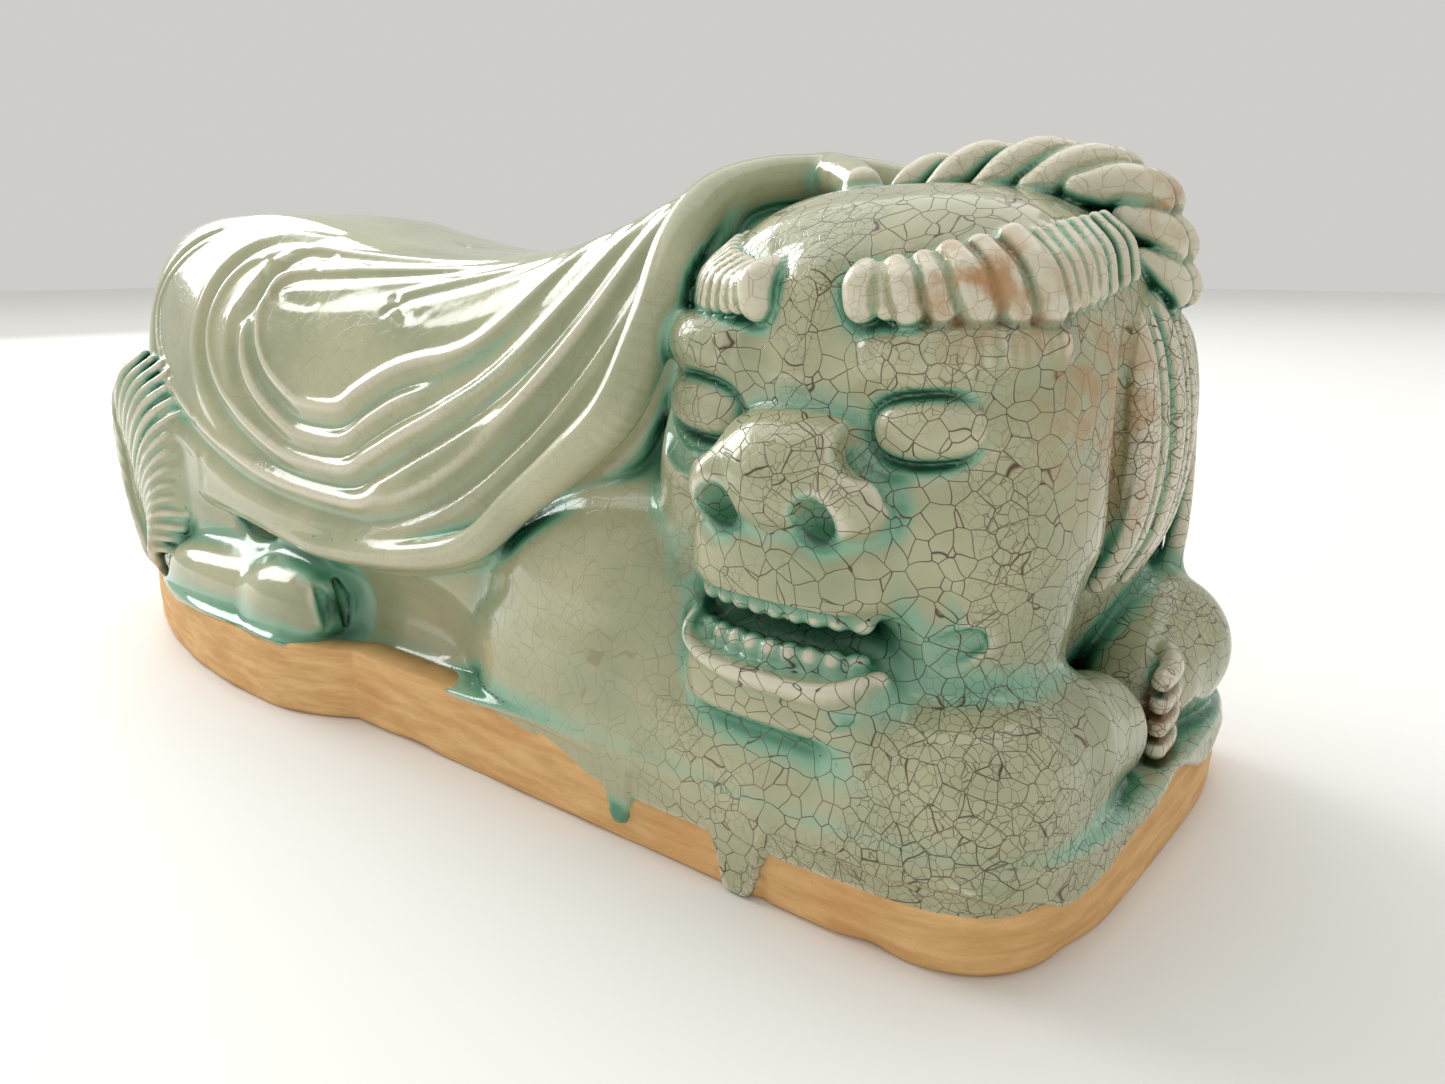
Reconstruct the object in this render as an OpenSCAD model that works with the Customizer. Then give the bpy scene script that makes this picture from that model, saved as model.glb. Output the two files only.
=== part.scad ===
// Reclining foo dog (guardian lion) headrest: a hollow glazed ceramic figure on a
// low clay plinth. X runs along the body with the head at +X, the face looks
// towards -Y, and Z is up from the surface that the plinth stands on.

/* [Plinth] */
// Overall length of the plinth
plinth_l = 360; // [350:1:370]
// Width of the plinth at the rounded rear lobe
plinth_w = 144; // [140:1:150]
// Width of the straight front part of the plinth
front_w = 125; // [122:1:130]
// Height of the plinth
plinth_h = 19.5; // [18:0.5:22]
// Length over which the front end rounds off into the sides
nose_l = 40; // [34:1:46]
// Length of the straight-sided front part
front_l = 184; // [180:1:190]
// Length over which the rear lobe steps in to the straight sides
notch_l = 30; // [20:1:40]

/* [Walls] */
// Thickness of the plinth wall
wall_t = 8; // [6:0.5:10]
// Thickness of the floor slab and of the deck slab
slab_t = 7; // [5:0.5:8]
// Thickness of the hollow trunk, neck and head
shell_t = 7; // [5:0.5:9]
// Thickness of the leaf-shaped drape
leaf_t = 4; // [3:0.5:6]
// Radius of the vent hole in the floor slab
vent_r = 4; // [3:0.5:6]
// Radius of the air hole between plinth and trunk
deck_hole_r = 12; // [8:1:16]

/* [Trunk and drape] */
// Plan centre of the trunk along X
trunk_x = -30; // [-32:1:-28]
// Half length of the trunk
trunk_a = 132; // [130:1:134]
// Half width of the trunk
trunk_b = 57; // [54:1:58]
// Height of the rump, under the drape
rump_z = 125; // [120:1:126]
// Height of the saddle, under the drape
saddle_z = 111; // [106:1:114]
// Height of the raised front of the drape, under the drape
flap_z = 136; // [130:1:137]
// Depth of the ripples in the drape
ripple = 0.9; // [0.4:0.1:1.2]

/* [Head] */
// Centre of the head along X
head_x = 130; // [129:1:131]
// Centre of the skull along Y
head_y = -12; // [-14:1:-11]
// Centre of the skull along Z
head_z = 92; // [91:1:93]
// Radius of the skull
skull_r = 38; // [37:1:39]
// Number of upper teeth
upper_count = 8; // [6:1:9]
// Number of lower teeth
lower_count = 9; // [7:1:10]
// Number of beads in each eyebrow
bead_count = 9; // [7:1:10]
// Number of curls in the crest
curl_count = 8; // [6:1:10]

/* [Limbs] */
// Radius of the forearm under the chin
forearm_r = 11.5; // [10:0.5:11.5]
// Radius of the hind paw
hind_paw_r = 9; // [8:0.5:9.5]
// Radius of one flute of hair
flute_r = 2.6; // [2:0.1:3]

/* [Glaze] */
// How far a glaze run stands proud of the clay
run_t = 1.2; // [0.8:0.1:1.6]

/* [Hidden] */

glaze = [0.75, 0.79, 0.71];
glaze_pale = [0.84, 0.85, 0.80];
glaze_green = [0.45, 0.70, 0.60];
clay = [0.82, 0.66, 0.46];

ball_fn = 20;
small_fn = 14;
hair_fn = 8;
outline_steps = 12;

lobe_x = plinth_l / 2 - front_l - notch_l;
lobe_a = lobe_x + plinth_l / 2;
deck_z = plinth_h - slab_t;

// ---- helpers ---------------------------------------------------------------

// A rounded mass through balls given as [x, y, z, radius]
module mass(balls, shrink = 0, fn = ball_fn)
  hull()
    for (b = balls)
      translate([b[0], b[1], b[2]]) sphere(r = b[3] - shrink, $fn = fn);

// A bar of hair or muscle that follows a list of [x, y, z, radius]
module chain(balls, fn = small_fn)
  for (i = [0 : len(balls) - 2])
    mass([balls[i], balls[i + 1]], fn = fn);

// The same balls on the other side of the body
function far_side(balls) = [for (b = balls) [b[0], -b[1], b[2], b[3]]];

// Half of the plinth's outline at an inset d, from the rear end to the front end
function half_outline(d) = let (
    a = lobe_a - d, b = plinth_w / 2 - d, w = front_w / 2 - d,
    x_end = plinth_l / 2 - d, s = outline_steps)
  concat(
    [for (i = [0 : s]) let (t = 180 - 90 * i / s) [lobe_x + a * cos(t), b * sin(t)]],
    [for (i = [1 : s]) let (t = 90 * i / s)
      [lobe_x + notch_l * sin(t), w + (b - w) * (0.5 + 0.5 * cos(2 * t))]],
    [for (i = [0 : s]) let (t = 90 - 90 * i / s)
      [x_end - nose_l + nose_l * sqrt(cos(t)), w * sqrt(sin(t))]]);

module outline(d = 0) {
  far = half_outline(d);
  n = len(far);
  near = [for (i = [n - 1 : -1 : 1]) [far[i][0], -far[i][1]]];
  polygon(concat(far, near));
}

// ---- plinth ----------------------------------------------------------------

module plinth_wall()
  color(clay)
    linear_extrude(deck_z)
      difference() {
        outline();
        outline(wall_t);
      }

module plinth_floor()
  color(clay)
    difference() {
      linear_extrude(slab_t) outline(wall_t);
      translate([lobe_x, 0, -1]) cylinder(r = vent_r, h = slab_t + 2, $fn = 32);
    }

module plinth_deck()
  color(glaze)
    difference() {
      translate([0, 0, deck_z]) linear_extrude(slab_t) outline();
      translate([lobe_x, 0, deck_z - 1])
        cylinder(r = deck_hole_r, h = slab_t + 2, $fn = 48);
    }

// ---- trunk and drape -------------------------------------------------------

function bump(x, centre, width) = exp(-pow((x - centre) / width, 2));

// Height of the back along the body
function back_z(x) = saddle_z
  + (rump_z - saddle_z) * bump(x, -98, 62)
  + (flap_z - saddle_z) * bump(x, 105, 48);

// How far direction t round the plan points to the front end, from 0 to 1
function frontness(t) = bump(min(t, 360 - t), 0, 45);

// How far direction t points to the rear end, from 0 to 1
function rearness(t) = bump(min(t, 360 - t), 180, 50);

// Fullness of the plan and of the side walls in direction t: small is squarer
function plan_power(t) = 0.55 - 0.4 * frontness(t) - 0.27 * rearness(t);
function wall_power(t) = 0.82 - 0.45 * frontness(t) - 0.34 * rearness(t);

// A point of the trunk's skin, t round the plan and r out from the centre line
// (0) to the wall at the deck (1), pushed out by d
function trunk_point(t, r, d) = let (
    x = trunk_x + (trunk_a + d) * r * sign(cos(t)) * pow(abs(cos(t)), 0.8),
    y = (trunk_b + d) * r * sign(sin(t)) * pow(abs(sin(t)), 0.8),
    drop = pow(max(0, 1 - pow(r, 2 / plan_power(t))), wall_power(t) / 2))
  [x, y, plinth_h + (back_z(x) + d - plinth_h) * drop];

// Closed shell between two skins, each given as rings of points below a crown point
module bowl(outer, inner, crown_out, crown_in) {
  rings = len(outer);
  n = len(outer[0]);
  function flat(rs) = [for (r = rs) for (p = r) p];
  top_o = 2 * rings * n;
  top_i = top_o + 1;
  half = rings * n;
  points = concat(flat(outer), flat(inner), [crown_out, crown_in]);
  faces = concat(
    [for (k = [0 : rings - 2]) for (i = [0 : n - 1]) let (j = (i + 1) % n)
      each [[k * n + i, k * n + j, (k + 1) * n + i],
            [k * n + j, (k + 1) * n + j, (k + 1) * n + i]]],
    [for (k = [0 : rings - 2]) for (i = [0 : n - 1]) let (j = (i + 1) % n)
      each [[half + k * n + j, half + k * n + i, half + (k + 1) * n + i],
            [half + (k + 1) * n + j, half + k * n + j, half + (k + 1) * n + i]]],
    [for (i = [0 : n - 1]) let (j = (i + 1) % n, a = (rings - 1) * n)
      each [[a + i, a + j, half + a + i], [a + j, half + a + j, half + a + i]]],
    [for (i = [0 : n - 1]) let (j = (i + 1) % n) each [[top_o, j, i], [top_i, half + i, half + j]]]);
  polyhedron(points, faces, convexity = 6);
}

// The trunk's form as rings of points from the crown to the deck, pushed out by d
function trunk_rings(d) = let (n = 40, rings = 8)
  [for (k = [1 : rings]) let (r = 1 - pow(1 - k / rings, 2))
    [for (i = [0 : n - 1]) trunk_point(360 * i / n, r, d)]];

module body_shell()
  color(glaze)
    bowl(trunk_rings(0), trunk_rings(-shell_t), trunk_point(0, 0, 0), trunk_point(0, 0, -shell_t));

// The trunk without its hollow, for cutting the limbs that are pressed against it
module trunk_solid() {
  rows = trunk_rings(0);
  rings = len(rows);
  n = len(rows[0]);
  crown = rings * n;
  points = concat([for (r = rows) for (p = r) p],
    [trunk_point(0, 0, 0), [trunk_x, 0, plinth_h]]);
  faces = concat(
    [for (k = [0 : rings - 2]) for (i = [0 : n - 1]) let (j = (i + 1) % n)
      each [[k * n + i, k * n + j, (k + 1) * n + i],
            [k * n + j, (k + 1) * n + j, (k + 1) * n + i]]],
    [for (i = [0 : n - 1]) let (j = (i + 1) % n, a = (rings - 1) * n)
      each [[crown, j, i], [a + i, a + j, crown + 1]]]);
  polyhedron(points, faces, convexity = 6);
}

// A limb pressed against the trunk
module against_trunk()
  difference() {
    children();
    trunk_solid();
  }

// How far down the walls the drape's edge hangs, as an angle, round the plan
function edge_angle(t) = lookup(min(t, 360 - t),
  [[0, 26], [14, 32], [26, 52], [38, 72], [60, 78], [78, 82], [100, 77],
   [124, 81], [150, 60], [165, 56], [180, 58]]);

// The same edge as a distance out from the centre line
function edge_r(t) = pow(sin(edge_angle(t)), plan_power(t));

// Waves that run parallel to the drape's edge
function ripple_at(t, r) = let (above = edge_angle(t) - asin(pow(r, 1 / plan_power(t))))
  above > 48 ? 0 : ripple * cos(360 * above / 13);

module leaf_drape() {
  n = 48;
  rings = 18;
  function spaced(k) = 1 - pow(1 - k / rings, 1.6);
  outer = [for (k = [1 : rings]) [for (i = [0 : n - 1])
    let (t = 360 * i / n, r = edge_r(t) * spaced(k))
    trunk_point(t, r, leaf_t + ripple_at(t, r))]];
  inner = [for (k = [1 : rings]) [for (i = [0 : n - 1])
    let (t = 360 * i / n) trunk_point(t, edge_r(t) * spaced(k), 0.05)]];
  color(glaze) bowl(outer, inner, trunk_point(0, 0, leaf_t), trunk_point(0, 0, 0.05));
}

// Rolled front edge of the drape, thick like a rope of clay
module leaf_rim() {
  steps = 10;
  reach = 30;
  path = [for (i = [0 : steps])
    let (t = -reach + 2 * reach * i / steps, a = t < 0 ? t + 360 : t)
    concat(trunk_point(a, edge_r(a), leaf_t), [4.6 - 1.4 * abs(t) / reach])];
  color(glaze) chain(path);
}

// ---- neck and head ---------------------------------------------------------

neck_balls = [[114, 18, 60, 30], [138, 18, 60, 31], [116, -10, 50, 24], [140, -8, 50, 26],
              [118, 24, 42, 22.5], [143, 24, 42, 22.5]];

module neck_shell()
  color(glaze)
    difference() {
      mass(neck_balls);
      mass(neck_balls, shrink = shell_t, fn = small_fn);
      mass(skull_balls(), fn = small_fn);
      trunk_solid();
    }

function skull_balls() = [
  [head_x, head_y, head_z, skull_r],
  [head_x - 18, head_y - 21, head_z + 7, 20], [head_x + 18, head_y - 21, head_z + 7, 20],
  [head_x - 22, head_y - 16, head_z - 20, 20], [head_x + 21, head_y - 16, head_z - 20, 20],
  [head_x - 13, head_y - 33, head_z - 27, 14], [head_x + 13, head_y - 33, head_z - 27, 14]];

// The gap between the lips, from corner to corner
module mouth_gap()
  hull()
    for (s = [-1, 1]) {
      translate([head_x + s * 18, head_y - 50, head_z - 41]) sphere(r = 5.5, $fn = small_fn);
      translate([head_x + s * 26, head_y - 32, head_z - 39]) sphere(r = 3, $fn = small_fn);
    }

module eye_socket(side)
  mass([[head_x + side * 16, head_y - 44, head_z - 1, 8],
        [head_x + side * 28, head_y - 42, head_z, 7]], fn = small_fn);

module head_shell()
  color(glaze_pale)
    difference() {
      mass(skull_balls());
      mass(skull_balls(), shrink = shell_t + 2, fn = small_fn);
      mouth_gap();
      eye_socket(-1);
      eye_socket(1);
      translate([0, 0, -60 + head_z - 45]) translate([head_x - 60, head_y - 60, 0])
        cube([120, 120, 60]);
    }

module lower_jaw()
  color(glaze_pale)
    mass([[head_x - 20, head_y - 41, head_z - 50, 7], [head_x + 19, head_y - 41, head_z - 50, 7],
          [head_x - 17, head_y - 46, head_z - 54, 4], [head_x + 16, head_y - 46, head_z - 54, 4],
          [head_x - 25, head_y - 16, head_z - 46, 12], [head_x + 25, head_y - 16, head_z - 46, 12]],
         fn = small_fn);

module nose() {
  tip = [[head_x, head_y - 43, head_z - 7, 9], [head_x - 6, head_y - 44, head_z - 13, 8.5],
         [head_x + 6, head_y - 44, head_z - 13, 8.5]];
  bridge = [[head_x, head_y - 36, head_z + 9, 7], [head_x, head_y - 43, head_z - 7, 9]];
  color(glaze_pale)
    difference() {
      union() {
        mass(tip);
        mass(bridge, fn = small_fn);
        for (s = [-1, 1])
          translate([head_x + s * 14.5, head_y - 40, head_z - 14]) sphere(r = 7.5, $fn = 12);
      }
      for (s = [-1, 1])
        translate([head_x + s * 9, head_y - 46, head_z - 17])
          rotate([90, 0, 0]) cylinder(r = 2.6, h = 12, $fn = 12);
    }
}

// A row of teeth on a shallow arc, standing up or hanging down from z
module teeth(count, z, direction) {
  spread = 16.5;
  tooth_r = 0.8 * spread / count;
  for (i = [0 : count - 1]) {
    u = -1 + 2 * i / (count - 1);
    translate([head_x + spread * u, head_y - 43 + 5 * u * u, z]) {
      cylinder(r = tooth_r, h = 5, center = true, $fn = 24);
      translate([0, 0, direction * 2.5]) sphere(r = tooth_r, $fn = 24);
    }
  }
}

module upper_teeth() color(glaze_pale) teeth(upper_count, head_z - 35.5, -1);

module lower_teeth() color(glaze_pale) teeth(lower_count, head_z - 45.5, 1);

module eye(side)
  color(glaze_pale)
    mass([[head_x + side * 17, head_y - 37, head_z - 1.5, 5.5],
          [head_x + side * 22, head_y - 35.5, head_z - 0.5, 6],
          [head_x + side * 27, head_y - 33, head_z - 0.5, 5]], fn = 20);

module eye_left() eye(1);

module eye_right() eye(-1);

// Beads that run round the brow from the bridge of the nose to the temple
module brow(side)
  color(glaze_pale)
    for (i = [0 : bead_count - 1]) {
      turn = 8 + 76 * i / (bead_count - 1);
      bead_r = 5.4 - 1.4 * i / (bead_count - 1);
      translate([head_x + side * 36.5 * pow(sin(turn), 0.72),
                 head_y - 37 * pow(cos(turn), 0.72), head_z + 19 + 7 * turn / 90])
        sphere(r = bead_r, $fn = 12);
    }

module brow_left() brow(1);

module brow_right() brow(-1);

// ---- mane ------------------------------------------------------------------

// A point on the crest's arc over the head
function crest_at(turn, r) = [
  head_x + 7 + (r - 8) * sign(cos(turn)) * pow(abs(cos(turn)), 0.75),
  1 + 7 * cos(turn), head_z + r * pow(sin(turn), 0.75)];

module mane_crest()
  color(glaze_pale)
    for (i = [0 : curl_count - 1]) {
      turn = 108 - 90 * i / (curl_count - 1);
      root = crest_at(turn, 37);
      knee = crest_at(turn + 3, 41);
      tip = crest_at(turn + 9, 44);
      mass([concat(root, [5.5]), concat(knee, [4.2])], fn = 10);
      mass([concat(knee, [4.2]), concat(tip, [2.2])], fn = 10);
    }

module mane_lock_left() {
  rows = 11;
  color(glaze_pale) {
    mass([[162, -12, 100, 7], [162, 32, 100, 7], [161, -10, 64, 8], [161, 34, 62, 8]], fn = small_fn);
    for (i = [0 : rows - 1]) {
      y = -14 + 4.6 * i;
      mass([[168, y, 104 - 0.1 * i, flute_r], [171, y + 1, 84, flute_r]], fn = hair_fn);
      mass([[171, y + 1, 84, flute_r], [167.5, y + 3, 58, flute_r]], fn = hair_fn);
    }
  }
}

module mane_lock_back() {
  rows = 15;
  color(glaze_pale) {
    mass([[100, 22, 108, 9], [156, 22, 108, 9], [98, 42, 48, 8], [162, 42, 48, 8]], fn = small_fn);
    for (i = [0 : rows - 1]) {
      x = 95 + 4.6 * i;
      crown_z = 114 - 0.12 * pow(i - rows / 2, 2);
      mass([[x, 29, crown_z, flute_r + 0.3], [x + 0.3, 42, 82, flute_r + 0.2]], fn = hair_fn);
      mass([[x + 0.3, 42, 82, flute_r + 0.2], [x - 0.2, 50, 42, flute_r + 0.35]], fn = hair_fn);
    }
  }
}

// ---- limbs and tail --------------------------------------------------------

shoulder_balls = [[58, -37, 45, 24], [92, -34, 50, 27.5], [50, -45, 34, 14.5], [104, -46, 34.5, 15]];
foreleg_balls = [[98, -46, 34.5, 15], [130, -50, 31, forearm_r], [155, -43, 33, 15],
                 [164, -28, 32, 13.5]];
far_foreleg_balls = [[98, 46, 34.5, 15], [130, 50, 32, 12], [161, 41, 34, 15.5], [164, 28, 32, 13.5]];
haunch_balls = [[-82, -38, 52, 20], [-112, -34, 54, 20], [-66, -42, 38, 16], [-120, -38, 34, 14]];

module shoulder_right() color(glaze) against_trunk() mass(shoulder_balls);

module shoulder_left() color(glaze) against_trunk() mass(far_side(shoulder_balls));

module foreleg_right() color(glaze) chain(foreleg_balls, fn = 18);

module foreleg_left() color(glaze) chain(far_foreleg_balls, fn = 18);

module forepaw_right()
  color(glaze)
    mass([[165, -20, 31.5, 12.5], [168, -9, 29.5, 10]], fn = 18);

module forepaw_left()
  color(glaze_pale) {
    mass([[165, 24, 31.5, 12.5], [168, 16, 29.5, 9.5]], fn = 18);
    for (i = [0 : 3])
      mass([[171.5, 16, 23 + 5 * i, 3.4], [174.5, 4, 22.9 + 4.2 * i, 3]], fn = 12);
  }

module haunch_right() color(glaze) against_trunk() mass(haunch_balls);

module haunch_left() color(glaze) against_trunk() mass(far_side(haunch_balls));

module hind_paw(side)
  color(glaze) {
    mass([[-92, side * 54, plinth_h + hind_paw_r, hind_paw_r],
          [-32, side * 60, plinth_h + hind_paw_r, hind_paw_r]]);
    for (i = [0 : 3])
      mass([[-30, side * (53 + 4.6 * i), plinth_h + 8 - i, 4],
            [-18, side * (53 + 4.4 * i), plinth_h + 5 - 0.5 * i, 4]], fn = 12);
  }

module hind_paw_right() hind_paw(-1);

module hind_paw_left() hind_paw(1);

// Plume laid against the rump, its flutes fanning up from the tip
module tail() {
  flutes = 11;
  tip = [-113, -58, 26];
  back = [-0.96, 0.28, 0];
  function along(angle, reach) = tip + reach * (back * sin(angle) + [0, 0, cos(angle)]);
  color(glaze) {
    mass([concat(tip, [6]), concat(along(-2, 50), [6]), concat(along(48, 44), [6])], fn = small_fn);
    for (i = [0 : flutes - 1]) {
      angle = -8 + 62 * i / (flutes - 1);
      mass([concat(along(angle, 8) + [-1.2, -4, 0], [flute_r]),
            concat(along(angle, 58 - 0.004 * angle * angle) + [-1.2, -4, 0], [flute_r + 0.4])],
           fn = hair_fn);
    }
  }
}

// ---- glaze -----------------------------------------------------------------

// One run down the near face: x along the wall, half width, and the height it stops at
module run(x, half, stop) {
  r = (half * half + run_t * run_t) / (2 * run_t);
  y_face = -front_w / 2;
  intersection() {
    translate([x, y_face - run_t + r, stop]) cylinder(r = r, h = plinth_h - stop, $fn = 96);
    translate([x - half, y_face - run_t - 1, stop]) cube([2 * half, run_t + 1, plinth_h - stop]);
  }
}

module glaze_runs()
  color(glaze_green)
    for (r = [[91, 4.2, 3.5], [122, 4.8, 0], [-85, 1.8, 14], [141, 2.5, 13], [104, 2.2, 14]])
      run(r[0], r[1], r[2]);

plinth_wall();
plinth_floor();
plinth_deck();
body_shell();
leaf_drape();
leaf_rim();
neck_shell();
head_shell();
lower_jaw();
nose();
upper_teeth();
lower_teeth();
eye_left();
eye_right();
brow_left();
brow_right();
mane_crest();
mane_lock_left();
mane_lock_back();
shoulder_right();
shoulder_left();
foreleg_right();
foreleg_left();
forepaw_right();
forepaw_left();
haunch_right();
haunch_left();
hind_paw_right();
hind_paw_left();
tail();
glaze_runs();
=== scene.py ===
"""Reclining guardian lion (foo dog) headrest in crackled celadon on a bare clay plinth.

The glazed figure is modelled like clay: masses, ropes and tool strokes are pressed into one
block of samples, and each named piece is then skinned from its own share of the clay.
Lengths in the sculpting code are millimetres in the shared frame, and pieces are built in metres.
"""

import math

import bpy
import numpy as np
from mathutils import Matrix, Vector

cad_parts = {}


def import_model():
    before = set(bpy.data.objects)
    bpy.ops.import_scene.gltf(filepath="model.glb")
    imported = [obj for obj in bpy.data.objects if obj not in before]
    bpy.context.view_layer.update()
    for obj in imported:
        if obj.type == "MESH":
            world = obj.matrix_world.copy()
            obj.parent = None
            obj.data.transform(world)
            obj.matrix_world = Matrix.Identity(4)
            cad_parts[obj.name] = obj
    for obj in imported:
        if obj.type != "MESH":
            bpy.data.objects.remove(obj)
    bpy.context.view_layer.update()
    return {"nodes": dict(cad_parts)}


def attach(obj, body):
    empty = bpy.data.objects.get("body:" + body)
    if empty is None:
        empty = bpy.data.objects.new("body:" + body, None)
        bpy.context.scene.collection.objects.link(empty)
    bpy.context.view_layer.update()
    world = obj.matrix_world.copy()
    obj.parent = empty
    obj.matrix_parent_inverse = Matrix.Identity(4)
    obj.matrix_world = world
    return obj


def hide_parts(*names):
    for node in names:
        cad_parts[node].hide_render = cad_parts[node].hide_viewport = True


MM = 0.001
FAR = 40.0
REACH = 6.0
COARSE = 1.0

# Plinth
PLINTH_L, PLINTH_W, FRONT_W, PLINTH_H = 360.0, 144.0, 125.0, 19.5
NOSE_L, FRONT_L, NOTCH_L, WALL_T = 40.0, 184.0, 30.0, 8.0
LOBE_X = PLINTH_L / 2 - FRONT_L - NOTCH_L
LOBE_A = LOBE_X + PLINTH_L / 2
GLAZE_T = 0.9
DRIP_X = (91, 122)

# Trunk and drape
TRUNK_X, TRUNK_A, TRUNK_B = -32.0, 137.0, 57.0
RUMP_Z, SADDLE_Z, FLAP_Z = 125.0, 111.0, 136.0
LEAF_T = 5.0
GATHER_X, GATHER_ANGLE = 80.0, 20.0
SPINE_Z = 60.0

# Head
HEAD_X, FACE_X = 130.0, 127.0


# ---- clay ------------------------------------------------------------------


def smooth_min(a, b, blend):
    """The smaller of two fields, with a fillet about a blend wide where they meet."""
    if blend <= 0:
        return np.minimum(a, b)
    near = np.maximum(blend - np.abs(a - b), 0) / blend
    return np.minimum(a, b) - near * near * (blend * 0.25)


def smooth_max(a, b, blend):
    """The larger of two fields, with a fillet where they meet."""
    return -smooth_min(-a, -b, blend)


def bell(x, centre, width):
    """1 at the centre, falling smoothly to 0 on both sides."""
    return np.exp(-(((x - centre) / width) ** 2))


def flat_bell(x, centre, width):
    """A bell with a broad top and steep sides."""
    return np.exp(-(((x - centre) / width) ** 4))


def ramp(x, low, high):
    """0 below low, 1 above high, and smooth between."""
    t = np.clip((x - low) / (high - low), 0, 1)
    return t * t * (3 - 2 * t)


def spline(points, step=2.5):
    """A Catmull-Rom curve through rows of numbers whose first three columns are a place."""
    p = np.asarray(points, float)
    p = np.vstack([2 * p[0] - p[1], p, 2 * p[-1] - p[-2]])
    rows = []
    for a, b, c, d in zip(p[:-3], p[1:-2], p[2:-1], p[3:]):
        n = max(2, int(np.linalg.norm(c[:3] - b[:3]) / step) + 1)
        t = (np.arange(n) / n)[:, None]
        rows.append(
            0.5 * (2 * b + (c - a) * t + (2 * a - 5 * b + 4 * c - d) * t**2
                   + (3 * b - a - 3 * c + d) * t**3)
        )
    return np.vstack(rows + [p[-2:-1]])


def turned(angles):
    """Rotation matrix for turns about X, Y and Z in degrees."""
    ax, ay, az = (math.radians(a) for a in angles)
    rx = np.array([[1, 0, 0], [0, math.cos(ax), -math.sin(ax)], [0, math.sin(ax), math.cos(ax)]])
    ry = np.array([[math.cos(ay), 0, math.sin(ay)], [0, 1, 0], [-math.sin(ay), 0, math.cos(ay)]])
    rz = np.array([[math.cos(az), -math.sin(az), 0], [math.sin(az), math.cos(az), 0], [0, 0, 1]])
    return rz @ ry @ rx


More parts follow.
